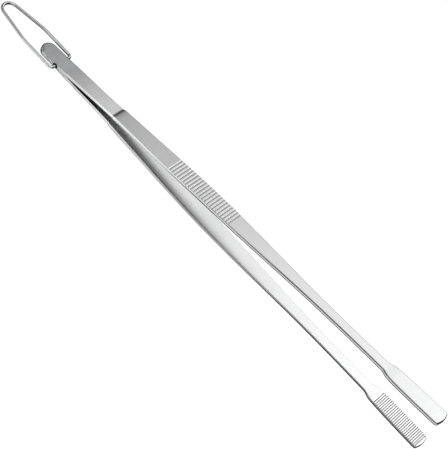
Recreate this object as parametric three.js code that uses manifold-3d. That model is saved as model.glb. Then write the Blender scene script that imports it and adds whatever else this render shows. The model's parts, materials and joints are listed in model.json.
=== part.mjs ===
// Long straight spring tweezers with paddle tips and a swinging wire hanging bail.
//
// Millimetres, +Z up. The tweezers are designed about their own mid-plane, with X running from
// the welded head to the tips, Y across the blades and Z from the lower blade to the upper one.
// The finished group is then tipped by restTilt, so that the lower blade lies on the ground
// plane Z = 0 on the flat of its grip and on its tip, as the tool rests on a table.

import * as THREE from 'three';
import { mergeVertices } from 'three/addons/utils/BufferGeometryUtils.js';
import Module from 'manifold-3d';

const wasm = await Module();
wasm.setup();

// ---- Driving dimensions ----

const overallLength = 300; // head end to blade tips
const restTilt = THREE.MathUtils.degToRad(1.64);

const head = {
  length: 22.5,
  halfWidth: 4.85,
  thickness: 4.8,
  noseRound: 1.7, // rounding of the end seen from the side
  holeX: 14.3,
  holeZ: -0.05,
  holeRadius: 1.7,
};

const hair = 0.01; // keeps two points of one outline apart
const weldGap = 0.3; // clearance between the head and the root of each blade
const rootX = head.length + weldGap;

// Distances from a blade's middle line to its faces. The outer face steps up from the thinned
// spring section to the blade, then fades to the blade's own thickness at stepFadeEnd.
const innerHalf = 1.05;
const outerRise = { spring: 1.05, step: 1.4, blade: 1.0, tip: 1.1 };
const stepFadeEnd = 100;

// Middle line of the upper blade: x along the tool, z above the mid-plane.
// Past the spring section it bows out to the flat of the grip, then runs on to the paddle.
const bowLine = [
  [rootX, 1.36],
  [44.5, 2.38],
  [79.5, 4.5],
  [104, 5.98],
  [127.5, 7.35],
];
const gripFlat = { from: 127.5, to: 150, z: 7.35 };
const reachLine = [
  [169.5, 8.52],
  [204.5, 9.32],
  [239.5, 10.24],
  [267.5, 10.97],
];

// Half-width of a blade seen from above, as [x, y] along its edge.
const springEdge = [
  [rootX, 4.95],
  [34.5, 4.85],
  [46.5, 4.6],
  [58.3, 4.55],
];
const bladeEdge = [
  [59.1, 4.85],
  [79.5, 5.3],
  [101.5, 5.9],
  [121.5, 6.1],
  [139.5, 6.05],
  [155.5, 5.65],
  [177.5, 4.75],
  [199.5, 3.85],
  [219.5, 3.4],
  [235.5, 3.3],
  [257.5, 3.45],
];
const shoulderEdge = [
  [259.4, 3.6],
  [261, 4.3],
  [263.5, 5.05],
  [269.5, 5.45],
  [281.5, 5.7],
  [294, 5.72],
];
const tipCorner = 2.3; // distance over which the corners of the paddle are rounded off
const tipBow = 0.9; // how far the end of the paddle bows out past its corners

const step = { x: 58.6, run: 0.8 }; // ramp from the spring section up to the blade

const grip = { start: 102.0, pitch: 2.0, count: 23, depth: 0.19, width: 0.95 };
const pad = { start: 266.65, pitch: 1.2, count: 27, depth: 0.22, width: 0.45 };

// Half sizes that reach past the tool on every side, for cutting one outline by another.
const clearOf = { height: 20, width: 10 };

const bail = {
  wireRadius: 0.95,
  halfSpan: 8.35, // from the middle plane to each leg
  pinEnd: 1.5, // where each in-turned end stops inside the head
  cornerRadius: 2,
  kinkReach: 22, // where the legs start to close in
  kinkLength: 3, // length of that bend on each side of kinkReach
  bowRadius: 5,
  bowStart: THREE.MathUtils.degToRad(81), // where each leg meets the rounded far end
  stations: 72, // cross-sections along the wire
  reach: 46.4, // pivot to the far end of the loop
  restAngle: THREE.MathUtils.degToRad(2.2), // the loop leans up from the mid-plane
};

// ---- Materials ----

const brushedSteel = new THREE.MeshStandardMaterial({ color: 0xb4b5b6, roughness: 0.38, metalness: 1 });
const headSteel = new THREE.MeshStandardMaterial({ color: 0x9b9c9e, roughness: 0.42, metalness: 1 });
const wireSteel = new THREE.MeshStandardMaterial({ color: 0xc4c5c7, roughness: 0.18, metalness: 1 });

// ---- Solids ----

function toSolid(geometry) {
  const bare = geometry.clone();
  bare.deleteAttribute('normal');
  bare.deleteAttribute('uv');
  const merged = mergeVertices(bare, 1e-4);
  const mesh = new wasm.Mesh({
    numProp: 3,
    vertProperties: new Float32Array(merged.attributes.position.array),
    triVerts: new Uint32Array(merged.index.array),
  });
  return new wasm.Manifold(mesh);
}

function toGeometry(solid) {
  const mesh = solid.getMesh();
  const geometry = new THREE.BufferGeometry();
  geometry.setAttribute('position', new THREE.BufferAttribute(mesh.vertProperties, 3));
  geometry.setIndex(new THREE.BufferAttribute(mesh.triVerts, 1));
  geometry.computeVertexNormals();
  return geometry;
}

// A flat outline in X and Y, made into a slab from z = -halfHeight to z = +halfHeight.
function planSlab(points, halfHeight) {
  const slab = new THREE.ExtrudeGeometry(new THREE.Shape(points), {
    depth: 2 * halfHeight,
    bevelEnabled: false,
  });
  return toSolid(slab.translate(0, 0, -halfHeight));
}

// A side profile in X and Z, made into a slab from y = -halfDepth to y = +halfDepth.
function sideSlab(points, halfDepth) {
  const slab = new THREE.ExtrudeGeometry(new THREE.Shape(points), {
    depth: 2 * halfDepth,
    bevelEnabled: false,
  });
  slab.rotateX(Math.PI / 2);
  return toSolid(slab.translate(0, halfDepth, 0));
}

const toVectors = (pairs) => pairs.map(([x, y]) => new THREE.Vector2(x, y));

function mirroredOutline(edge) {
  const farSide = edge.map((point) => new THREE.Vector2(point.x, -point.y));
  return [...farSide, ...edge.slice().reverse()];
}

// ---- Blades ----

function bladeEdgePoints() {
  const outline = new THREE.Path();
  outline.moveTo(rootX, springEdge[0][1]);
  outline.splineThru(toVectors(springEdge.slice(1)));
  outline.lineTo(...bladeEdge[0]);
  outline.splineThru(toVectors(bladeEdge.slice(1)));
  outline.splineThru(toVectors(shoulderEdge));
  const padHalfWidth = shoulderEdge.at(-1)[1];
  const cornerX = overallLength - tipBow;
  outline.lineTo(cornerX - tipCorner, padHalfWidth);
  outline.quadraticCurveTo(cornerX, padHalfWidth, cornerX, padHalfWidth - tipCorner / 2);
  outline.quadraticCurveTo(overallLength, (padHalfWidth - tipCorner) / 2, overallLength, hair);
  return outline.getPoints(3);
}

// The flat of the grip and the tip both touch the ground line, which rises at restTilt.
function middleLine() {
  const rise = Math.tan(restTilt);
  const flatEnd = gripFlat.z + (gripFlat.to - gripFlat.from) * rise;
  const extraAtTip = outerRise.tip - outerRise.blade;
  const tipZ = gripFlat.z + (overallLength - gripFlat.from) * rise - extraAtTip;
  const line = new THREE.Path();
  line.moveTo(...bowLine[0]);
  line.splineThru(toVectors(bowLine.slice(1)));
  line.lineTo(gripFlat.to, flatEnd);
  line.splineThru(toVectors([...reachLine, [overallLength, tipZ]]));
  return line.getPoints(16);
}

const middlePoints = middleLine();

// Height of the blade's middle line above the mid-plane at a given x.
function middleHeight(x) {
  const after = middlePoints.findIndex((point) => point.x >= x);
  if (after <= 0) return middlePoints.at(after === 0 ? 0 : -1).y;
  const [a, b] = [middlePoints[after - 1], middlePoints[after]];
  return a.y + ((b.y - a.y) * (x - a.x)) / (b.x - a.x);
}

// Height of the outer face above the middle line.
function outerHeight(x) {
  if (x < step.x) return outerRise.spring;
  const { lerp, smoothstep } = THREE.MathUtils;
  const faded = lerp(outerRise.step, outerRise.blade, smoothstep(x, step.x + step.run, stepFadeEnd));
  return faded + (outerRise.tip - outerRise.blade) * smoothstep(x, shoulderEdge[0][0], pad.start);
}

// Stations along the blade, close together only where the surface turns.
function stations(from, to, count) {
  return Array.from({ length: count + 1 }, (_, i) => from + ((to - from) * i) / count);
}

// V-grooves cut across a surface: each is two shoulders and a root.
function grooveRow({ start, pitch, count, depth, width }, surface, inward) {
  return stations(start, start + pitch * (count - 1), count - 1).flatMap((x) => [
    new THREE.Vector2(x - width / 2, surface(x - width / 2)),
    new THREE.Vector2(x, surface(x) + inward * depth),
    new THREE.Vector2(x + width / 2, surface(x + width / 2)),
  ]);
}

const gripEnd = grip.start + grip.pitch * (grip.count - 1);
const padEnd = pad.start + pad.pitch * (pad.count - 1);

function upperBladeProfile() {
  const outer = (x) => middleHeight(x) + outerHeight(x);
  const inner = (x) => middleHeight(x) - innerHalf;
  const along = (surface) => (x) => new THREE.Vector2(x, surface(x));
  const justBeforeStep = step.x - hair;
  return [
    ...stations(rootX, justBeforeStep, 6).map(along(outer)),
    ...stations(step.x + step.run, grip.start - grip.pitch, 7).map(along(outer)),
    ...grooveRow(grip, outer, -1),
    ...stations(gripFlat.to, shoulderEdge[0][0], 16).map(along(outer)),
    ...stations(pad.start, overallLength, 4).map(along(outer)),
    new THREE.Vector2(overallLength, inner(overallLength)),
    ...grooveRow(pad, inner, 1).reverse(),
    ...stations(shoulderEdge[0][0], rootX, 32).map(along(inner)),
  ];
}

function bladeGeometry() {
  const plan = planSlab(mirroredOutline(bladeEdgePoints()), clearOf.height);
  const profile = sideSlab(upperBladeProfile(), clearOf.width);
  return toGeometry(profile.intersect(plan));
}

function upperArm() {
  const mesh = new THREE.Mesh(bladeGeometry(), brushedSteel);
  mesh.name = 'upper_arm';
  return mesh;
}

// The lower arm is the same pressing turned over about the tool's long axis.
function lowerArm() {
  const mesh = new THREE.Mesh(bladeGeometry(), brushedSteel);
  mesh.name = 'lower_arm';
  mesh.rotation.x = Math.PI;
  return mesh;
}

// ---- Welded head ----

function headOutline() {
  const outline = new THREE.Path();
  outline.moveTo(head.length, springEdge[0][1]);
  outline.lineTo(head.halfWidth, head.halfWidth);
  outline.absarc(head.halfWidth, 0, head.halfWidth, Math.PI / 2, Math.PI * 1.5, false);
  outline.lineTo(head.length, -springEdge[0][1]);
  return outline.getPoints(20);
}

function headProfile() {
  const half = head.thickness / 2;
  const round = head.noseRound;
  const profile = new THREE.Path();
  profile.moveTo(head.length, half);
  profile.lineTo(round, half);
  profile.absarc(round, half - round, round, Math.PI / 2, Math.PI, false);
  profile.lineTo(0, round - half);
  profile.absarc(round, round - half, round, Math.PI, Math.PI * 1.5, false);
  profile.lineTo(head.length, -half);
  return profile.getPoints(8);
}

function weldedHead() {
  const plan = planSlab(headOutline(), clearOf.height);
  const block = plan.intersect(sideSlab(headProfile(), clearOf.width));
  const drill = new THREE.CylinderGeometry(head.holeRadius, head.holeRadius, 2 * clearOf.width, 24);
  const hole = toSolid(drill.translate(head.holeX, 0, head.holeZ));
  const mesh = new THREE.Mesh(toGeometry(block.subtract(hole)), headSteel);
  mesh.name = 'welded_head';
  return mesh;
}

// ---- Hanging bail ----

// Centre line of one half of the bail, from its in-turned end to the far end of the loop.
// Its own frame has the pivot at the origin, X towards the loop's far end and Y across.
function halfBailPoints() {
  const { halfSpan, cornerRadius, pinEnd, kinkReach, kinkLength, bowRadius, bowStart, reach } = bail;
  const bowCentre = reach - bowRadius;
  const closing = (halfSpan - bowRadius) / (bowCentre - kinkReach);
  const line = new THREE.Path();
  line.moveTo(0, pinEnd);
  line.lineTo(0, halfSpan - cornerRadius);
  line.absarc(cornerRadius, halfSpan - cornerRadius, cornerRadius, Math.PI, Math.PI / 2, true);
  line.lineTo(kinkReach - kinkLength, halfSpan);
  line.quadraticCurveTo(kinkReach, halfSpan, kinkReach + kinkLength, halfSpan - kinkLength * closing);
  line.absarc(bowCentre, 0, bowRadius, bowStart, 0, true);
  return line.getPoints(6);
}

function bailCurve() {
  const half = halfBailPoints();
  const otherHalf = half.slice(0, -1).reverse().map((p) => new THREE.Vector2(p.x, -p.y));
  const path = new THREE.CurvePath();
  const points = [...half, ...otherHalf].map((p) => new THREE.Vector3(-p.x, p.y, 0));
  points.slice(1).forEach((point, i) => path.add(new THREE.LineCurve3(points[i], point)));
  return path;
}

function wireSection() {
  const section = new THREE.Path();
  section.absarc(0, 0, bail.wireRadius, 0, 2 * Math.PI, false);
  return new THREE.Shape(section.getPoints(5).slice(0, -1));
}

function hangingBail() {
  const wire = new THREE.ExtrudeGeometry(wireSection(), {
    extrudePath: bailCurve(),
    steps: bail.stations,
    bevelEnabled: false,
  });
  const mesh = new THREE.Mesh(wire, wireSteel);
  mesh.name = 'hanging_bail';
  mesh.position.set(head.holeX, 0, head.holeZ);
  mesh.rotation.y = bail.restAngle;
  return mesh;
}

// ---- Assembly ----

function assemble() {
  const tool = new THREE.Group();
  tool.add(weldedHead(), upperArm(), lowerArm(), hangingBail());
  tool.rotation.y = -restTilt;
  tool.updateMatrixWorld(true);
  const box = new THREE.Box3().setFromObject(tool, true);
  const centre = box.getCenter(new THREE.Vector3());
  tool.position.set(-centre.x, -centre.y, -box.min.z);

  const tweezers = new THREE.Group();
  tweezers.name = 'aquascaping_tweezers';
  tweezers.add(tool);
  return tweezers;
}

export default assemble();
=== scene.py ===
"""Looks for the aquascaping tweezers: two brushed spring blades, a welded head and a wire bail.

Shapes are designed in the tool's own frame, in millimetres: X from the head end to the tips,
Y across the blades, Z from the lower blade to the upper one. place() takes them to the row
frame, in metres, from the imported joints.
"""

import json
import math
from functools import lru_cache

import bmesh
import bpy
import numpy as np
from mathutils import Matrix, Vector


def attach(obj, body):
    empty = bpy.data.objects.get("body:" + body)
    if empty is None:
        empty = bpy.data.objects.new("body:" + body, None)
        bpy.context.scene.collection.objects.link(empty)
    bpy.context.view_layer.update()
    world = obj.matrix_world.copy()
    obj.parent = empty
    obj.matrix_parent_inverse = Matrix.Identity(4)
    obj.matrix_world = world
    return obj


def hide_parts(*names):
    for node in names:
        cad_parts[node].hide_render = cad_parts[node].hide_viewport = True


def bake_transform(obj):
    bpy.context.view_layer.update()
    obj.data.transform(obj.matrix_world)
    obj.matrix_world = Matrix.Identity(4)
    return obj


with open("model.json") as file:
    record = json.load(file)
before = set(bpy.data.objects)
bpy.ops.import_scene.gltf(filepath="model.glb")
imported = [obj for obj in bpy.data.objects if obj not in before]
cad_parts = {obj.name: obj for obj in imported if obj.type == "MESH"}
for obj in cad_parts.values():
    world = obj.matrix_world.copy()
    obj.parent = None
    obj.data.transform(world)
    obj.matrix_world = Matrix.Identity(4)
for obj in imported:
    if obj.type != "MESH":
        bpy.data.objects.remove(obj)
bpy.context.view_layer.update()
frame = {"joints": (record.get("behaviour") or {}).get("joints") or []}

# ---- The tool's frame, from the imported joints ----

ROOT_X = 22.8  # where each blade's hinge sits, along the tool
BAIL_PIVOT_X = 14.3
MM = 0.001

joints = {j["name"]: j for j in frame["joints"]}
upper_root = Vector(joints["upper_arm_flex"]["pos_m"])
lower_root = Vector(joints["lower_arm_flex"]["pos_m"])
bail_pivot = Vector(joints["bail_swing"]["pos_m"])

UP = (upper_root - lower_root).normalized()
ACROSS = Vector((0, 1, 0))
ALONG = ACROSS.cross(UP)
ORIGIN = (upper_root + lower_root) / 2 - ALONG * ROOT_X * MM
TO_ROW = np.array([ALONG, ACROSS, UP])


def place(points):
    """Points of the tool's frame, in millimetres, as points of the row frame, in metres."""
    return np.asarray(points, float) @ TO_ROW * MM + np.array(ORIGIN)


# ---- Dimensions, in millimetres ----

LENGTH = 300.0
REST_TILT = math.asin(ALONG.z)
BELLY = (127.5, 7.35)  # from here on the middle line runs level with the table for a while
FLAT_END_X = 150
TIP_DROP = 0.1


def belly_level(x):
    """Height at x of a line through the belly that is level with the table."""
    return BELLY[1] + (x - BELLY[0]) * math.tan(REST_TILT)


# A blade's middle line, over the tool's middle plane: up to the belly, and on to the tip.
BOW_LINE = [(ROOT_X, 1.36), (44.5, 2.38), (79.5, 4.5), (104, 5.98), BELLY]
REACH_LINE = [
    (FLAT_END_X, belly_level(FLAT_END_X)), (169.5, 8.52), (204.5, 9.32), (239.5, 10.24),
    (267.5, 10.97), (LENGTH, belly_level(LENGTH) - TIP_DROP),
]

# Half the width of the spring section, the grip and waist, and the paddle.
SPRING_EDGE = [(ROOT_X, 4.95), (34.5, 4.85), (46.5, 4.6), (58.3, 4.55)]
BLADE_EDGE = [
    (59.1, 4.85), (79.5, 5.3), (101.5, 5.9), (121.5, 6.1), (139.5, 6.05), (155.5, 5.65),
    (177.5, 4.75), (199.5, 3.85), (219.5, 3.4), (235.5, 3.3), (257.5, 3.45),
]
SHOULDER_EDGE = [(259.4, 3.6), (261, 4.3), (263.5, 5.05), (269.5, 5.45), (281.5, 5.7), (294, 5.72)]
TIP_CORNER = 2.3
TIP_BOW = 0.9

STEP_X, STEP_RUN = 58.6, 0.8
ROOT_CLOSING, ROOT_CLOSED_TO = 0.24, 33.0  # the blades start closer together at the weld
INNER_HALF = 1.05  # from a blade's middle line to its inner face
SPRING_RISE, STEP_RISE, BLADE_RISE, TIP_RISE = 1.05, 1.4, 1.0, 1.1  # to its outer face
STEP_FADE_END = 100.0
CROWN = 0.07  # how far the outer face falls from its middle to its edges

GRIP = {"start": 102.0, "pitch": 2.0, "count": 23, "depth": 0.19, "width": 0.95}
PAD = {"start": 266.78, "pitch": 1.2, "count": 27, "depth": 0.22, "width": 0.45}
ROOT_SOFTNESS = 0.03  # of a groove's root, as the square of a share of its half width

# Rounding of a blade's edges along the tool: (x, outer edge, inner edge).
EDGE_ROUND = [
    (20, 0.75, 0.22), (57, 0.65, 0.22), (62, 0.5, 0.22), (105, 0.5, 0.25),
    (135, 0.7, 0.45), (190, 0.87, 0.45), (262, 0.85, 0.45), (300, 0.8, 0.5),
]

HEAD_LENGTH = 22.5
HEAD_HALF_WIDTH = 4.85
HEAD_HALF_THICK = 2.27
HEAD_RISE, HEAD_RISE_FROM = 0.135, 16.0  # its faces rise into the blades' slope
HEAD_ROUND = [(0, 1.5), (6, 1.3), (16, 1.2), (22.5, 0.75)]  # (x, radius of its edges)
HEAD_WELD_OVERLAP = 0.05  # its end face lies this far past its length, over the blades
HEAD_NOSE_GAP = 0.4  # between the last point of its side and the first of its round nose
HOLE_RADIUS = 1.7
HOLE_DEPTH = 20.0  # of the cutter, which is longer than the head is wide
HOLE_Z = (bail_pivot - ORIGIN).dot(UP) / MM

BLADE_START = 20.0
UNDER_HEAD, UNDER_HEAD_END = 0.12, 22.3  # the blade's root lies this far under the head's skin

WIRE_RADIUS = 0.95
WIRE_DOME = 0.3  # the rounding of the wire's cut ends
BAIL = {
    "half_span": 8.35, "pin_end": 1.5, "corner": 2.0, "kink": 22.0, "kink_length": 3.0,
    "bow": 5.0, "bow_start": math.radians(81), "reach": 46.4, "lean": math.radians(2.2),
}

# ---- Shade painted on the steel ----

# These are shade matched to the photograph, and stay with the steel in any light. Darkness runs
# from 0 to 1. A blade's own -Y and +Y sides are -1 and +1, and the middle of its tip is 0.

# Painted shade in the pad grooves' roots.
PAD_LINE = (0.45, 1.0)  # a pad groove's root along most of it, and at its -Y end
# Painted shade lines: the outer corner's line, and the inner corner's near the root and further
# out.
CORNER_LINES = {-1: (0.95, (0.3, 1.0)), 0: (0.7, (0.3, 0.8)), 1: (0.3, (0.0, 0.35))}
OUTER_DEEPENS, INNER_DEEPENS = (110, 190), (88, 128)  # where along the tool the lines set in
LINE_AT, LINE_SPREAD = math.radians(32), math.radians(24)  # round the outer corner
# Painted shade lines along the head's rim and down the blades' sides.
HEAD_RIM = 0.3  # the line along the head's top edge, on its +Y side only
SIDE_ROWS = [(0.1, 0.0), (0.3, 0.15), (0.45, 1.0)]  # share of the way down a side, darkness
# A band of painted shade along the inner face's +Y side: (x, darkness, share of the width).
SHADE_BAND = [
    (60, 0.0, 0.5), (75, 0.12, 0.5), (90, 0.16, 0.5), (126, 0.36, 0.5), (150, 0.24, 0.45),
    (172, 0.12, 0.4), (185, 0.0, 0.3),
]


# ---- Curves ----

def smooth_curve(points, per_segment=24):
    """A uniform Catmull-Rom curve through the points, as a dense polyline."""
    p = np.array(points, float)
    ends = np.vstack([p[:1], p, p[-1:]])
    t = np.linspace(0, 1, per_segment, endpoint=False)[:, None]
    pieces = []
    for i in range(len(p) - 1):
        a, b, c, d = ends[i:i + 4]
        v0, v1 = (c - a) / 2, (d - b) / 2
        cubic, square = 2 * b - 2 * c + v0 + v1, -3 * b + 3 * c - 2 * v0 - v1
        pieces.append(cubic * t**3 + square * t**2 + v0 * t + b)
    return np.vstack(pieces + [p[-1:]])


def eased(curve, span=7.0, spacing=0.25):
    """The curve resampled evenly, with its corners rounded over about span."""
    x = np.arange(curve[0, 0], curve[-1, 0] + spacing / 2, spacing)
    y = np.interp(x, curve[:, 0], curve[:, 1])
    half = int(2 * span / spacing)
    bell = np.exp(-0.5 * (np.arange(-half, half + 1) * spacing / span) ** 2)
    first = y[0] - (y[1] - y[0]) * np.arange(half, 0, -1)
    last = y[-1] + (y[-1] - y[-2]) * np.arange(1, half + 1)
    padded = np.concatenate([first, y, last])
    return np.stack([x, np.convolve(padded, bell / bell.sum(), "valid")], 1)


def quadratic(a, b, c, t):
    """Points of a quadratic Bezier curve from a to c, pulled towards b."""
    return (1 - t) ** 2 * np.array(a) + 2 * t * (1 - t) * np.array(b) + t * t * np.array(c)


MIDDLE = eased(np.vstack([smooth_curve(BOW_LINE), smooth_curve(REACH_LINE)]))
WIDTH = np.vstack([smooth_curve(edge) for edge in (SPRING_EDGE, BLADE_EDGE, SHOULDER_EDGE)])


def smoothstep(x, low, high):
    t = np.clip((x - low) / (high - low), 0, 1)
    return t * t * (3 - 2 * t)


def middle_height(x):
    """Height of a blade's middle line, carried on straight under the head."""
    slope = (MIDDLE[1, 1] - MIDDLE[0, 1]) / (MIDDLE[1, 0] - MIDDLE[0, 0])
    inside = np.interp(x, MIDDLE[:, 0], MIDDLE[:, 1])
    return np.where(x < ROOT_X, MIDDLE[0, 1] + (x - ROOT_X) * slope, inside)


def half_width(x):
    return np.interp(x, WIDTH[:, 0], WIDTH[:, 1])


def outer_rise(x):
    """Height of a blade's outer face over its middle line."""
    past_step = smoothstep(x, STEP_X, STEP_X + STEP_RUN)
    faded = smoothstep(x, STEP_X + STEP_RUN, STEP_FADE_END)
    blade = STEP_RISE + (BLADE_RISE - STEP_RISE) * faded
    tip_share = smoothstep(x, SHOULDER_EDGE[0][0], PAD["start"])
    return SPRING_RISE + (blade - SPRING_RISE) * past_step + (TIP_RISE - BLADE_RISE) * tip_share


def edge_round(x):
    table = np.array(EDGE_ROUND)
    return np.interp(x, table[:, 0], table[:, 1]), np.interp(x, table[:, 0], table[:, 2])


def groove_depth(x, row):
    """Depth of a row of V-grooves with slightly softened roots."""
    nearest = np.clip(np.round((x - row["start"]) / row["pitch"]), 0, row["count"] - 1)
    u = np.abs(x - row["start"] - nearest * row["pitch"]) / (row["width"] / 2)
    soft = np.sqrt(u * u + ROOT_SOFTNESS) - math.sqrt(ROOT_SOFTNESS)
    return row["depth"] * np.clip(1 - soft, 0, 1)


# ---- Where the painted shade is ----

def corner_lines(x, side):
    """How dark the painted shade lines along a blade's outer and inner corners are on one side of
    it.
    """
    if x < HEAD_LENGTH:
        return HEAD_RIM * (side > 0), 0.0
    outer, inner = CORNER_LINES[side]
    outer_share = float(smoothstep(x, *OUTER_DEEPENS))
    inner_share = float(smoothstep(x, *INNER_DEEPENS))
    return outer * outer_share, inner[0] + (inner[1] - inner[0]) * inner_share


@lru_cache(maxsize=None)
def inner_marks_at(x):
    """At x: a pad groove's share of its full depth, the painted shade band's darkness and its
    width.
    """
    stops = np.array(SHADE_BAND)
    dark, width = (float(np.interp(x, stops[:, 0], stops[:, k])) for k in (1, 2))
    return float(groove_depth(x, PAD)) / PAD["depth"], dark, width


def inner_mark(x, y):
    """How dark the inner face is painted: shade in the roots of the pad grooves, and a band of
    shade along one side.
    """
    root, band_shade, width = inner_marks_at(x)
    if not (root or band_shade):
        return 0.0
    side = y / float(half_width(x))
    to_far_end = float(smoothstep(-side, 0.5, 1.0))
    groove = root * (PAD_LINE[0] + (PAD_LINE[1] - PAD_LINE[0]) * to_far_end)
    return max(groove, band_shade * (1 - float(smoothstep((1 - side) / 2, 0.0, width))))


def no_mark(x, y):
    return 0.0


# ---- Mesh building ----

def inward_of(rail):
    """Unit vectors square to the rail, towards the inside of its slab."""
    tangent = np.gradient(rail, axis=0)
    tangent /= np.linalg.norm(tangent, axis=1)[:, None]
    tangent[-1] = (0, -1)
    inward = np.stack([tangent[:, 1], -tangent[:, 0]], 1)
    inward *= np.sign(-inward[:, 1].sum())
    inward[-1] = (-np.sign(rail[-1, 0] - rail[0, 0]), 0)
    return inward


def add_mesh(name, vertices, faces, marks, tool_points):
    """A smooth piece that carries its marks, and where on the tool each point is, in metres."""
    mesh = bpy.data.meshes.new(name)
    mesh.from_pydata([tuple(v) for v in place(vertices)], [], faces)
    mesh.update()
    data = bmesh.new()
    data.from_mesh(mesh)
    bmesh.ops.recalc_face_normals(data, faces=data.faces)
    data.to_mesh(mesh)
    data.free()
    along = mesh.attributes.new("tool", "FLOAT_VECTOR", "POINT")
    along.data.foreach_set("vector", (np.asarray(tool_points) * MM).astype(np.float32).ravel())
    for mark, values in marks.items():
        layer = mesh.attributes.new(mark, "FLOAT", "POINT")
        layer.data.foreach_set("value", np.asarray(values, np.float32))
    mesh.polygons.foreach_set("use_smooth", [True] * len(mesh.polygons))
    piece = bpy.data.objects.new(name, mesh)
    bpy.context.scene.collection.objects.link(piece)
    return piece


def build_slab(name, rail, faces_at, radii, mark_inside, turned=False, across=12):
    """A closed slab whose plan is the rail mirrored in y = 0, with rounded edges.

    rail is points (x, y) along one side, from the open root to the far end's middle, where y
    is 0. faces_at is two functions of (x, y, grooved), the heights of the top and the bottom
    face, with or without their grooves. radii is the rounding of the top and the bottom edge
    at each rail point. turned swings the slab half a turn about X.
    """
    top, bottom = faces_at
    round_top, round_bottom = radii
    inward = inward_of(rail)
    n = len(rail)
    top_angles = np.radians(np.linspace(0, 90, 9))
    low_angles = np.radians(np.linspace(90, 0, 6))

    def strip(i, sign):
        """Points from the top face over one side to the bottom face, each with its marks, the
        painted shade among them.
        """
        x, y = rail[i]
        nx, ny = inward[i]
        rt, rb = round_top[i], round_bottom[i]
        dark_top, dark_low = corner_lines(x, sign)
        rows = []
        for a in top_angles:
            inset = rt * (1 - math.sin(a))
            px, py = x + nx * inset, y + ny * inset
            z = min(top(px, py, False) - rt * (1 - math.cos(a)), top(px, py, True))
            # Painted shade: a dark line round the outer corner.
            dark = dark_top * math.exp(-((a - LINE_AT) / LINE_SPREAD) ** 2)
            rows.append((px, sign * py, z, math.sin(a), 0.0, dark))
        z_top = top(x, y, False) - rt
        z_low = bottom(x, y, False) + rb
        for share, dark_share in SIDE_ROWS:
            z = z_top + (z_low - z_top) * share
            # Painted shade on the lower part of the side.
            rows.append((x, sign * y, z, 1.0, 0.0, dark_low * dark_share))
        for a in low_angles:
            inset = rb * (1 - math.sin(a))
            px, py = x + nx * inset, y + ny * inset
            z = max(bottom(px, py, False) + rb * (1 - math.cos(a)), bottom(px, py, True))
            # Painted shade round the inner corner, and the inner face's painted shade.
            dark = max(dark_low * math.sin(a), mark_inside(px, sign * py) * math.cos(a))
            rows.append((px, sign * py, z, math.sin(a), 1 - math.sin(a), dark))
        return rows

    vertices, faces = [], []
    # line holds the darkness of the painted shade at each point.
    marks = {"edge": [], "inner": [], "line": []}

    def add(row):
        vertices.append(row[:3])
        for values, value in zip(marks.values(), row[3:]):
            values.append(value)
        return len(vertices) - 1

    near = [[add(r) for r in strip(i, -1)] for i in range(n - 1)]
    last = [add(r) for r in strip(n - 1, 0)]
    far = [[add(r) for r in strip(i, 1)] for i in range(n - 1)]
    loop = near + [last] + far[::-1]
    for a, b in zip(loop[:-1], loop[1:]):
        faces += [(a[k], b[k], b[k + 1], a[k + 1]) for k in range(len(a) - 1)]

    def cap(k, surface, is_inner):
        """Fills the face between the strips' ends k, and returns its points at the root."""
        rows = []
        for i in range(n - 1):
            left, right = near[i][k], far[i][k]
            x, y = vertices[right][0], vertices[right][1]
            crossing = []
            for j in range(1, across):
                py = -y + 2 * y * j / across
                mark = is_inner * mark_inside(x, py)
                crossing.append(add((x, py, surface(x, py, True), 0.0, is_inner, mark)))
            rows.append([left] + crossing + [right])
        for a, b in zip(rows[:-1], rows[1:]):
            faces.extend((a[j], a[j + 1], b[j + 1], b[j]) for j in range(across))
        end = last[k]
        faces.extend((rows[-1][j], rows[-1][j + 1], end) for j in range(across))
        return rows[0]

    top_root = cap(0, top, 0.0)
    low_root = cap(-1, bottom, 1.0)
    faces.append(tuple(top_root + far[0][1:-1] + low_root[::-1] + near[0][1:-1][::-1]))
    points = np.array(vertices, float)
    shown = points * np.array([1, -1, -1]) if turned else points
    return add_mesh(name, shown, faces, marks, points)


# ---- Blades ----

# Where a blade's side has its points: (from, to, how many), closest along the grooves.
RAIL_SPANS = [
    (BLADE_START, 22.4, 4), (22.5, 58.2, 34), (58.4, 59.8, 18), (60, 100.6, 34),
    (100.8, 147.8, 329), (149, 258.4, 74), (259, 265.6, 14), (265.9, 296.7, 257),
]


def blade_rail():
    xs = np.concatenate([np.linspace(*span) for span in RAIL_SPANS])
    side = np.stack([xs, half_width(xs)], 1)
    corner_x = LENGTH - TIP_BOW
    y = SHOULDER_EDGE[-1][1]
    t = np.linspace(0, 1, 14)[:, None]
    turn_end = (corner_x, y - TIP_CORNER / 2)
    corner = quadratic((corner_x - TIP_CORNER, y), (corner_x, y), turn_end, t)
    bow = quadratic(turn_end, (LENGTH, (y - TIP_CORNER) / 2), (LENGTH, 0), t)
    end = np.vstack([corner, bow[1:]])
    for _ in range(3):  # eases the join between the corner and the bowed end
        end[1:-1] = (end[:-2] + 2 * end[1:-1] + end[2:]) / 4
    return np.vstack([side, end])


def under_head(x):
    """How far the blade's root lies under the head's skin."""
    return UNDER_HEAD * (1 - float(smoothstep(x, BLADE_START, UNDER_HEAD_END)))


def blade_top(x, y, grooved):
    z = middle_height(x) + outer_rise(x) - CROWN * (y / max(half_width(x), 1)) ** 2
    if grooved:
        z -= groove_depth(x, GRIP)
    return float(z) - under_head(x)


def blade_bottom(x, y, grooved):
    z = middle_height(x) - INNER_HALF
    z -= ROOT_CLOSING * (1 - smoothstep(x, ROOT_X, ROOT_CLOSED_TO))
    if grooved:
        z += groove_depth(x, PAD)
    return float(z)


def build_blade(name, turned):
    rail = blade_rail()
    rail[:, 1] -= [under_head(x) for x in rail[:, 0]]
    radii = edge_round(rail[:, 0])
    return build_slab(name, rail, (blade_top, blade_bottom), radii, inner_mark, turned)


# ---- Head ----

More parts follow.
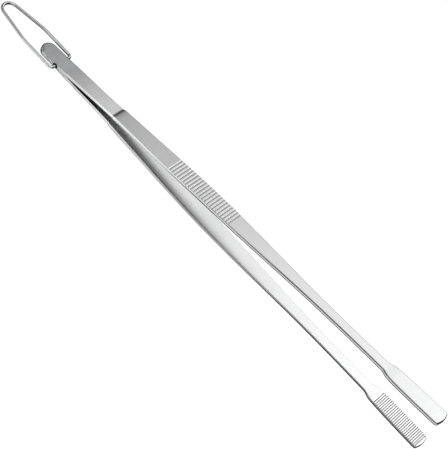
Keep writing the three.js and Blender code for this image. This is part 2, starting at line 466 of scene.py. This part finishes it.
def head_rail():
    xs = np.linspace(HEAD_LENGTH + HEAD_WELD_OVERLAP, HEAD_HALF_WIDTH + HEAD_NOSE_GAP, 34)
    widths = np.interp(xs, [HEAD_HALF_WIDTH, HEAD_LENGTH], [HEAD_HALF_WIDTH, SPRING_EDGE[0][1]])
    side = np.stack([xs, widths], 1)
    angle = np.linspace(0, math.pi / 2, 30)
    nose = np.stack([
        HEAD_HALF_WIDTH - HEAD_HALF_WIDTH * np.sin(angle),
        HEAD_HALF_WIDTH * np.cos(angle),
    ], 1)
    return np.vstack([side, nose])


def head_top(x, y, grooved):
    """Height of the head's top face, which is plain, so grooved changes nothing."""
    rise = HEAD_RISE * (max(x - HEAD_RISE_FROM, 0) / (HEAD_LENGTH - HEAD_RISE_FROM)) ** 2
    return HEAD_HALF_THICK + rise - CROWN * (y / HEAD_HALF_WIDTH) ** 2


def head_bottom(x, y, grooved):
    return -head_top(x, y, grooved)


def build_head():
    rail = head_rail()
    radius = np.interp(rail[:, 0], *zip(*HEAD_ROUND))
    return build_slab("head_forging", rail, (head_top, head_bottom), (radius, radius), no_mark)


def drill(piece):
    """Gives the piece a new mesh with the bail's cross hole through it."""
    cutter_mesh = bpy.data.meshes.new("hole_cutter")
    cut = bmesh.new()
    bmesh.ops.create_cone(cut, cap_ends=True, segments=48, radius1=HOLE_RADIUS * MM,
                          radius2=HOLE_RADIUS * MM, depth=HOLE_DEPTH * MM)
    turn = Matrix.Rotation(math.pi / 2, 4, "X")
    bmesh.ops.transform(cut, matrix=Matrix.Translation(bail_pivot) @ turn, verts=cut.verts)
    cut.to_mesh(cutter_mesh)
    cut.free()
    cutter = bpy.data.objects.new("hole_cutter", cutter_mesh)
    bpy.context.scene.collection.objects.link(cutter)
    boolean = piece.modifiers.new("cross_hole", "BOOLEAN")
    boolean.operation = "DIFFERENCE"
    boolean.solver = "EXACT"
    boolean.object = cutter
    bpy.context.view_layer.update()
    evaluated = piece.evaluated_get(bpy.context.evaluated_depsgraph_get())
    drilled = bpy.data.meshes.new_from_object(evaluated)
    piece.modifiers.clear()
    piece.data = drilled
    bpy.data.objects.remove(cutter)
    drilled.set_sharp_from_angle(angle=math.radians(40))


# ---- Bail ----

def half_bail():
    """Half of the loop's middle line, in its own plane: (reach from the pivot, y)."""
    b = BAIL
    half_span, corner, kink_x, run = b["half_span"], b["corner"], b["kink"], b["kink_length"]
    bow_centre = b["reach"] - b["bow"]
    closing = (half_span - b["bow"]) / (bow_centre - kink_x)

    def bow_at(angles):
        x, y = b["bow"] * np.cos(angles), b["bow"] * np.sin(angles)
        return np.stack([bow_centre + x, y], 1)

    pin = [(0, y) for y in np.linspace(b["pin_end"], half_span - corner, 12)]
    turn = [
        (corner - corner * math.cos(a), half_span - corner + corner * math.sin(a))
        for a in np.linspace(0, math.pi / 2, 12)[1:]
    ]
    leg = [(x, half_span) for x in np.linspace(corner, kink_x - run, 14)[1:]]
    kink_end = (kink_x + run, half_span - run * closing)
    steps = np.linspace(0, 1, 12)[1:, None]
    kink = quadratic((kink_x - run, half_span), (kink_x, half_span), kink_end, steps)
    bow = bow_at(np.linspace(b["bow_start"], 0, 22))
    closing_leg = kink[-1] + (bow[0] - kink[-1]) * np.linspace(0, 1, 14)[1:, None]
    return np.vstack([pin, turn, leg, kink, closing_leg, bow[1:]])


def bail_points():
    half = half_bail()
    path = np.vstack([half, half[:-1][::-1] * (1, -1)])
    lean = BAIL["lean"]
    return np.array([
        (BAIL_PIVOT_X - u * math.cos(lean), y, HOLE_Z + u * math.sin(lean)) for u, y in path
    ])


def build_wire(name, path, radius, sides=28):
    tangents = np.gradient(path, axis=0)
    tangents /= np.linalg.norm(tangents, axis=1)[:, None]
    lean = BAIL["lean"]
    normal = np.array([math.sin(lean), 0, math.cos(lean)])  # square to the loop's plane
    vertices, faces = [], []
    rings = []

    def ring(centre, tangent, r):
        side = np.cross(normal, tangent)
        start = len(vertices)
        for k in range(sides):
            a = 2 * math.pi * k / sides
            vertices.append(centre + r * (math.cos(a) * side + math.sin(a) * normal))
        rings.append(list(range(start, start + sides)))

    ring(path[0], tangents[0], radius - WIRE_DOME)
    ring(path[0] + tangents[0] * WIRE_DOME, tangents[0], radius)
    for i in range(2, len(path) - 2):
        ring(path[i], tangents[i], radius)
    ring(path[-1] - tangents[-1] * WIRE_DOME, tangents[-1], radius)
    ring(path[-1], tangents[-1], radius - WIRE_DOME)
    for a, b in zip(rings[:-1], rings[1:]):
        faces += [(a[k], a[(k + 1) % sides], b[(k + 1) % sides], b[k]) for k in range(sides)]
    faces.append(tuple(rings[0][::-1]))
    faces.append(tuple(rings[-1]))
    points = np.array(vertices)
    marks = {mark: [0.0] * len(vertices) for mark in ("edge", "inner", "line")}
    return add_mesh(name, points, faces, marks, points)


# ---- Nodes ----

def feed(tree, given, socket):
    """Sets the socket to a number, or links another node's output to it."""
    if isinstance(given, (int, float)):
        socket.default_value = given
    else:
        tree.links.new(given, socket)


def math_node(tree, operation, a, b):
    node = tree.nodes.new("ShaderNodeMath")
    node.operation = operation
    for socket, given in zip(node.inputs, (a, b)):
        feed(tree, given, socket)
    return node.outputs[0]


def shader_tree(owner):
    owner.use_nodes = True
    tree = owner.node_tree
    tree.nodes.clear()
    return tree


def axes_of(tree, vector):
    split = tree.nodes.new("ShaderNodeSeparateXYZ")
    tree.links.new(vector, split.inputs[0])
    return split.outputs


def ramp_node(tree, value, span, ends):
    """A smooth change from ends[0] to ends[1] while value crosses the span."""
    node = tree.nodes.new("ShaderNodeMapRange")
    node.interpolation_type = "SMOOTHSTEP"
    for socket, number in zip(node.inputs[1:5], (*span, *ends)):
        socket.default_value = number
    tree.links.new(value, node.inputs["Value"])
    return node.outputs["Result"]


def mixed_node(tree, share, first, second):
    """first where share is 0, second where it is 1."""
    node = tree.nodes.new("ShaderNodeMix")
    for name, given in (("Factor", share), ("A", first), ("B", second)):
        feed(tree, given, node.inputs[name])
    return node.outputs["Result"]


def stepped(tree, value, span, below, above):
    """below on the low side of the span, above on its high side."""
    return mixed_node(tree, ramp_node(tree, value, span, (0, 1)), below, above)


# ---- Materials ----

STREAK_DETAIL, STREAK_ROUGH = 3.0, 0.6
BLOTCH_SCALE, BLOTCH_DETAIL, BLOTCH_ROUGH = (160, 320, 320), 2.0, 0.55
STREAK_SHARE, BLOTCH_SHARE = 0.6, 0.4
ROUGHNESS_SPREAD = 0.25
# The near-black of the painted shade lines along corners and in groove roots.
LINE_COLOUR = (0.04, 0.04, 0.042, 1)
EVEN = [(0, 1), (LENGTH, 1)]  # the same tone from end to end


def steel(name, colours, roughness, streak, streak_depth, outer=EVEN, inner=EVEN, side=EVEN):
    """Brushed steel: streaks, a blotchy tone, smoother edges and painted shade and reflection.

    colours is its darkest and its lightest colour. roughness is that of its faces and of its
    edges. streak is the streaks' scale along X, Y and Z, and streak_depth their bump in metres.
    outer, inner and side are stops (x along the tool, tone) that its colour is multiplied by
    on its outer faces, its inner faces and its edges; these tones paint reflection and shade.
    The line attribute darkens it towards LINE_COLOUR, as painted shade.
    """
    material = bpy.data.materials.new(name)
    tree = shader_tree(material)
    nodes, links = tree.nodes, tree.links
    out = nodes.new("ShaderNodeOutputMaterial")
    shader = nodes.new("ShaderNodeBsdfPrincipled")
    shader.inputs["Metallic"].default_value = 1.0
    links.new(shader.outputs["BSDF"], out.inputs["Surface"])

    def attribute(of):
        node = nodes.new("ShaderNodeAttribute")
        node.attribute_name = of
        return node.outputs

    coords = attribute("tool")["Vector"]
    at_edge = attribute("edge")["Fac"]
    at_inside = attribute("inner")["Fac"]
    at_line = attribute("line")["Fac"]

    def noise(scale, detail, rough):
        mapping = nodes.new("ShaderNodeMapping")
        mapping.inputs["Scale"].default_value = scale
        links.new(coords, mapping.inputs["Vector"])
        texture = nodes.new("ShaderNodeTexNoise")
        texture.inputs["Scale"].default_value = 1.0
        texture.inputs["Detail"].default_value = detail
        texture.inputs["Roughness"].default_value = rough
        links.new(mapping.outputs["Vector"], texture.inputs["Vector"])
        return texture.outputs["Fac"]

    def mixed_colour(share, first, second, blend="MIX"):
        node = nodes.new("ShaderNodeMix")
        node.data_type = "RGBA"
        node.blend_type = blend
        feed(tree, share, node.inputs["Factor"])
        for socket, given in ((node.inputs["A"], first), (node.inputs["B"], second)):
            if isinstance(given, tuple):
                socket.default_value = given
            else:
                links.new(given, socket)
        return node.outputs["Result"]

    along = math_node(tree, "DIVIDE", axes_of(tree, coords)["X"], LENGTH * MM)

    def tone_along(stops):
        ramp = nodes.new("ShaderNodeValToRGB")
        elements = ramp.color_ramp.elements
        elements.remove(elements[-1])
        for i, (x, tone) in enumerate(stops):
            stop = elements[0] if i == 0 else elements.new(x / LENGTH)
            stop.position = x / LENGTH
            stop.color = (tone, tone, tone, 1)
        links.new(along, ramp.inputs["Fac"])
        return ramp.outputs["Color"]

    face_tone = mixed_colour(at_inside, tone_along(outer), tone_along(inner))
    tone = mixed_colour(at_edge, face_tone, tone_along(side))

    streaks = noise(streak, STREAK_DETAIL, STREAK_ROUGH)
    blotches = noise(BLOTCH_SCALE, BLOTCH_DETAIL, BLOTCH_ROUGH)
    pattern = math_node(tree, "ADD", math_node(tree, "MULTIPLY", streaks, STREAK_SHARE),
                        math_node(tree, "MULTIPLY", blotches, BLOTCH_SHARE))
    dark, light = ((*colour, 1) for colour in colours)
    toned = mixed_colour(1.0, mixed_colour(pattern, dark, light), tone, "MULTIPLY")
    # Painted shade: the line attribute darkens the colour towards LINE_COLOUR.
    links.new(mixed_colour(at_line, toned, LINE_COLOUR), shader.inputs["Base Color"])

    rough_face, rough_edge = roughness
    centred = math_node(tree, "SUBTRACT", pattern, 0.5)
    face_rough = math_node(tree, "ADD", math_node(tree, "MULTIPLY", centred, ROUGHNESS_SPREAD),
                           rough_face)
    difference = math_node(tree, "MULTIPLY", at_edge, rough_edge - rough_face)
    links.new(math_node(tree, "ADD", face_rough, difference), shader.inputs["Roughness"])

    bump = nodes.new("ShaderNodeBump")
    bump.inputs["Strength"].default_value = 1.0
    bump.inputs["Distance"].default_value = streak_depth
    links.new(streaks, bump.inputs["Height"])
    links.new(bump.outputs["Normal"], shader.inputs["Normal"])
    return material


def paint(piece, material):
    piece.data.materials.clear()
    piece.data.materials.append(material)


# The tones were matched to the photograph, so they hold some of its reflections as well as the
# steel's finish. The near-black stops are the line at the step.
# The near-black stops paint the shade of the dark line at the step, over its small real rise; the
# low inner tones near the root paint the shade between the blades.
blade_steel = steel(
    "blade_steel", [(0.84, 0.8425, 0.846), (0.995, 0.9975, 1.0)], (0.33, 0.2),
    (2600, 90, 200), 1.3e-6,
    outer=[(0, 0.55), (22, 0.55), (28, 0.609), (36, 0.753), (46, 0.872), (58.4, 1),
           (58.6, 0.0956), (59.6, 0.0717), (59.9, 0.502), (63, 0.645), (98, 0.741),
           (122, 0.717), (150, 0.717), (300, 0.789)],
    inner=[(0, 0.239), (46, 0.358), (62, 0.633), (80, 0.645), (124, 0.693), (150, 0.741),
           (264, 0.777), (267, 0.992), (298, 0.992)],
    side=[(0, 0.55), (36, 0.753), (58.5, 0.956), (63, 0.765), (98, 0.717), (150, 0.693),
          (300, 0.765)],
)
# The head is painted darker than the blades, with its sides lighter towards the nose and its tones
# rising towards the weld: painted reflection and shade on the steel.
head_steel = steel(
    "head_steel", [(0.37, 0.374, 0.38), (0.52, 0.524, 0.53)], (0.38, 0.3),
    (2000, 110, 200), 1.6e-6,
    outer=[(0, 0.9), (14, 1.0), (22.5, 1.15)],
    side=[(0, 1.8), (4, 1.3), (8, 1.1), (22.5, 1.15)],
)
# Painted shade: near-black steel for the inside of the cross hole and the head's end face at the
# weld.
bore_shade_steel = steel(
    "bore_shade_steel", [(0.06, 0.06, 0.062), (0.12, 0.12, 0.122)], (0.55, 0.5),
    (900, 600, 900), 2.0e-6,
)
wire_steel = steel(
    "wire_steel", [(0.54, 0.545, 0.55), (0.68, 0.685, 0.69)], (0.14, 0.14),
    (120, 2500, 2500), 1.0e-6,
)

# ---- Pieces ----

upper = build_blade("upper_blade_brushed", False)
lower = build_blade("lower_blade_brushed", True)
for blade in (upper, lower):
    paint(blade, blade_steel)
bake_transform(upper)
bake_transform(lower)
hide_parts("upper_arm")
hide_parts("lower_arm")

head = build_head()
drill(head)
paint(head, head_steel)
head.data.materials.append(bore_shade_steel)
# Faces inside the bore and the end face at the weld take the bore's painted shade.
for face in head.data.polygons:
    off_axis = (face.center - bail_pivot) * (Vector((1, 1, 1)) - ACROSS)
    in_bore = off_axis.length < HOLE_RADIUS * MM and abs(face.normal.y) < 0.5
    at_weld = face.normal.dot(ALONG) > 0.99
    if in_bore or at_weld:
        face.material_index = 1
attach(head, "head")
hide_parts("welded_head")

bail = build_wire("bail_wire", bail_points(), WIRE_RADIUS)
paint(bail, wire_steel)
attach(bail, "bail")
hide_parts("hanging_bail")


# ---- Stage ----

# The camera sees a plain white floor and world. Bounced light meets a floor and a world whose
# brightness varies, tuned so that the steel's reflections match the photograph at its own angle.

WHITE = 1.1  # strength of the white that the camera sees

# The floor. Spans are in metres, along the tool or across it, where less is nearer the front.
FLOOR_HALF = 3.0
FRONT_SPAN = (-0.0072, -0.0045)  # in front of the tool, and past that under and behind it
# Beside the bail and the head's nose, every edge across the tool is 2 mm nearer the front.
NOSE_SPAN, NOSE_SHIFT = (-0.14, -0.12), (0.002, 0)
# Painted shade for bounced light: the floor is near black under and just behind the tool, and
# close in front of it it darkens towards the tips.
BEHIND_SPAN, UNDER_TONE, BEHIND_TONE = (0.05, 0.2), 0.04, 0.6
CLOSE_SPAN, FRONT_TONE = (-0.02, -0.009), 0.95
CLOSE_FADE_SPAN, CLOSE_TONES = (0.08, 0.15), (0.95, 0.35)
# Painted light for bounced light: the floor in front of the tool glows, brightest near the head
# and fading towards the tips.
FRONT_GLOW_SPAN, FRONT_GLOW = (-0.06, 0.05), (0.22, 0.09)
NEAR_SPAN = (-0.03, -0.014)
NEAR_HEAD_SPAN, NEAR_HEAD_GLOW = (-0.11, -0.06), 0.2
NEAR_FADE_SPAN, NEAR_GLOW = (0.0, 0.13), (0.42, 0)

# The world. Spans are of a direction's X, Y or Z, and the strengths are those of its parts.
FAR_SIDE_SPAN = (-0.4, -0.12)  # of Y, from the front part to the far part
FAR_LEFT_SPAN, FAR_LEFT = (-0.45, -0.05), (0.62, 1.35)
FAR_MIDDLE_SPAN, FAR_MIDDLE = (-0.2, -0.12), 2.2
FAR_RIGHT_SPAN, FAR_RIGHT = (0.1, 0.4), 0.1
FAR_LOW_SPAN, FAR_LOW = (0.18, 0.48), 0.08
FAR_END_SPAN, FAR_END = (-0.62, -0.45), 0.36
FRONT_DIP_SPAN, FRONT_DIP = (-0.16, -0.06), (0.35, 0.12)
FRONT_RIGHT_SPAN, FRONT_RIGHT = (0.1, 0.2), 0.7
FRONT_LOW_SPAN, FRONT_LOW = (0.25, 0.45), 0.9
FRONT_MIDDLE_SPAN, FRONT_MIDDLE = (-0.25, -0.17), 1.15
FRONT_END_SPAN, FRONT_END = (-0.52, -0.44), 0.3


def white_for_camera(tree, seen, other, output):
    """seen where the camera looks straight at it, other for light that bounces."""
    path = tree.nodes.new("ShaderNodeLightPath")
    mix = tree.nodes.new("ShaderNodeMixShader")
    tree.links.new(path.outputs["Is Camera Ray"], mix.inputs[0])
    tree.links.new(other, mix.inputs[1])
    tree.links.new(seen, mix.inputs[2])
    tree.links.new(mix.outputs[0], output)


floor_mesh = bpy.data.meshes.new("floor")
floor_corners = [(-1, -1), (1, -1), (1, 1), (-1, 1)]
floor_points = [(x * FLOOR_HALF, y * FLOOR_HALF, 0) for x, y in floor_corners]
floor_mesh.from_pydata(floor_points, [], [(0, 1, 2, 3)])
floor = bpy.data.objects.new("floor", floor_mesh)
bpy.context.scene.collection.objects.link(floor)
floor_material = bpy.data.materials.new("floor_white")
tree = shader_tree(floor_material)
glow = tree.nodes.new("ShaderNodeEmission")
glow.inputs["Strength"].default_value = WHITE
diffuse = tree.nodes.new("ShaderNodeBsdfDiffuse")
geometry = tree.nodes.new("ShaderNodeNewGeometry")
floor_axes = axes_of(tree, geometry.outputs["Position"])
along = floor_axes["X"]
across = math_node(tree, "ADD", floor_axes["Y"], ramp_node(tree, along, NOSE_SPAN, NOSE_SHIFT))
is_front = ramp_node(tree, across, FRONT_SPAN, (1, 0))
behind = stepped(tree, across, BEHIND_SPAN, UNDER_TONE, BEHIND_TONE)
close_by = ramp_node(tree, along, CLOSE_FADE_SPAN, CLOSE_TONES)
in_front = stepped(tree, across, CLOSE_SPAN, FRONT_TONE, close_by)
tree.links.new(mixed_node(tree, is_front, behind, in_front), diffuse.inputs["Color"])
# Painted light: the glow of the floor in front of the tool, seen by bounced light only.
pool = tree.nodes.new("ShaderNodeEmission")
further_glow = ramp_node(tree, along, FRONT_GLOW_SPAN, FRONT_GLOW)
near_fade = ramp_node(tree, along, NEAR_FADE_SPAN, NEAR_GLOW)
near_glow = stepped(tree, along, NEAR_HEAD_SPAN, NEAR_HEAD_GLOW, near_fade)
front_glow = stepped(tree, across, NEAR_SPAN, further_glow, near_glow)
tree.links.new(mixed_node(tree, is_front, 0, front_glow), pool.inputs["Strength"])
lit = tree.nodes.new("ShaderNodeAddShader")
tree.links.new(diffuse.outputs[0], lit.inputs[0])
tree.links.new(pool.outputs[0], lit.inputs[1])
out = tree.nodes.new("ShaderNodeOutputMaterial")
white_for_camera(tree, glow.outputs[0], lit.outputs[0], out.inputs["Surface"])
floor_mesh.materials.append(floor_material)

world = bpy.data.worlds.new("studio")
bpy.context.scene.world = world
tree = shader_tree(world)
white = tree.nodes.new("ShaderNodeBackground")
white.inputs["Strength"].default_value = WHITE
room = tree.nodes.new("ShaderNodeBackground")
coords = tree.nodes.new("ShaderNodeTexCoord")
toward = axes_of(tree, coords.outputs["Generated"])
to_x, to_y, to_z = toward["X"], toward["Y"], toward["Z"]
far = ramp_node(tree, to_x, FAR_LEFT_SPAN, FAR_LEFT)
far = stepped(tree, to_x, FAR_MIDDLE_SPAN, far, FAR_MIDDLE)
far = stepped(tree, to_x, FAR_RIGHT_SPAN, far, FAR_RIGHT)
far = stepped(tree, to_z, FAR_LOW_SPAN, FAR_LOW, far)
far = stepped(tree, to_x, FAR_END_SPAN, FAR_END, far)
front = ramp_node(tree, to_x, FRONT_DIP_SPAN, FRONT_DIP)
front = stepped(tree, to_x, FRONT_RIGHT_SPAN, front, FRONT_RIGHT)
front = stepped(tree, to_z, FRONT_LOW_SPAN, FRONT_LOW, front)
front = stepped(tree, to_x, FRONT_MIDDLE_SPAN, FRONT_MIDDLE, front)
front = stepped(tree, to_x, FRONT_END_SPAN, FRONT_END, front)
tree.links.new(stepped(tree, to_y, FAR_SIDE_SPAN, front, far), room.inputs["Strength"])
out = tree.nodes.new("ShaderNodeOutputWorld")
white_for_camera(tree, white.outputs[0], room.outputs[0], out.inputs["Surface"])


def softbox(name, centre, size, radiance):
    """A soft square light of a given radiance that faces the tool and isn't reflected in it."""
    light = bpy.data.lights.new(name, "AREA")
    light.shape = "RECTANGLE"
    light.size, light.size_y = size, size
    light.energy = radiance * math.pi * size * size
    lamp = bpy.data.objects.new(name, light)
    lamp.location = centre
    lamp.rotation_mode = "QUATERNION"
    lamp.rotation_quaternion = (-Vector(centre)).to_track_quat("-Z", "Y")
    lamp.visible_camera = False
    lamp.visible_glossy = False
    bpy.context.scene.collection.objects.link(lamp)


softbox("floor_light", (0.0, 0.6, 1.2), 0.6, 9.0)

# ---- Camera, at the photograph's angle and in the tool's frame ----

LENS_PX, IMAGE_WIDTH = 1900.0, 448.0
SENSOR = 36.0
CAMERA_AT = (332.24, -678.47, 740.55)
CAMERA_RIGHT = (0.69579, 0.60914, 0.38056)
CAMERA_UP = (-0.69399, 0.43364, 0.57475)
camera_data = bpy.data.cameras.new("camera")
camera_data.sensor_fit = "HORIZONTAL"
camera_data.sensor_width = SENSOR
camera_data.lens = LENS_PX / IMAGE_WIDTH * SENSOR
camera = bpy.data.objects.new("camera", camera_data)
right = Vector(np.array(CAMERA_RIGHT) @ TO_ROW).normalized()
up = Vector(np.array(CAMERA_UP) @ TO_ROW).normalized()
back = right.cross(up)
up = back.cross(right)
facing = Matrix((right, up, back)).transposed().to_4x4()
camera.matrix_world = Matrix.Translation(Vector(place([CAMERA_AT])[0])) @ facing
bpy.context.scene.collection.objects.link(camera)
bpy.context.scene.camera = camera
bpy.context.scene.view_settings.view_transform = "Standard"
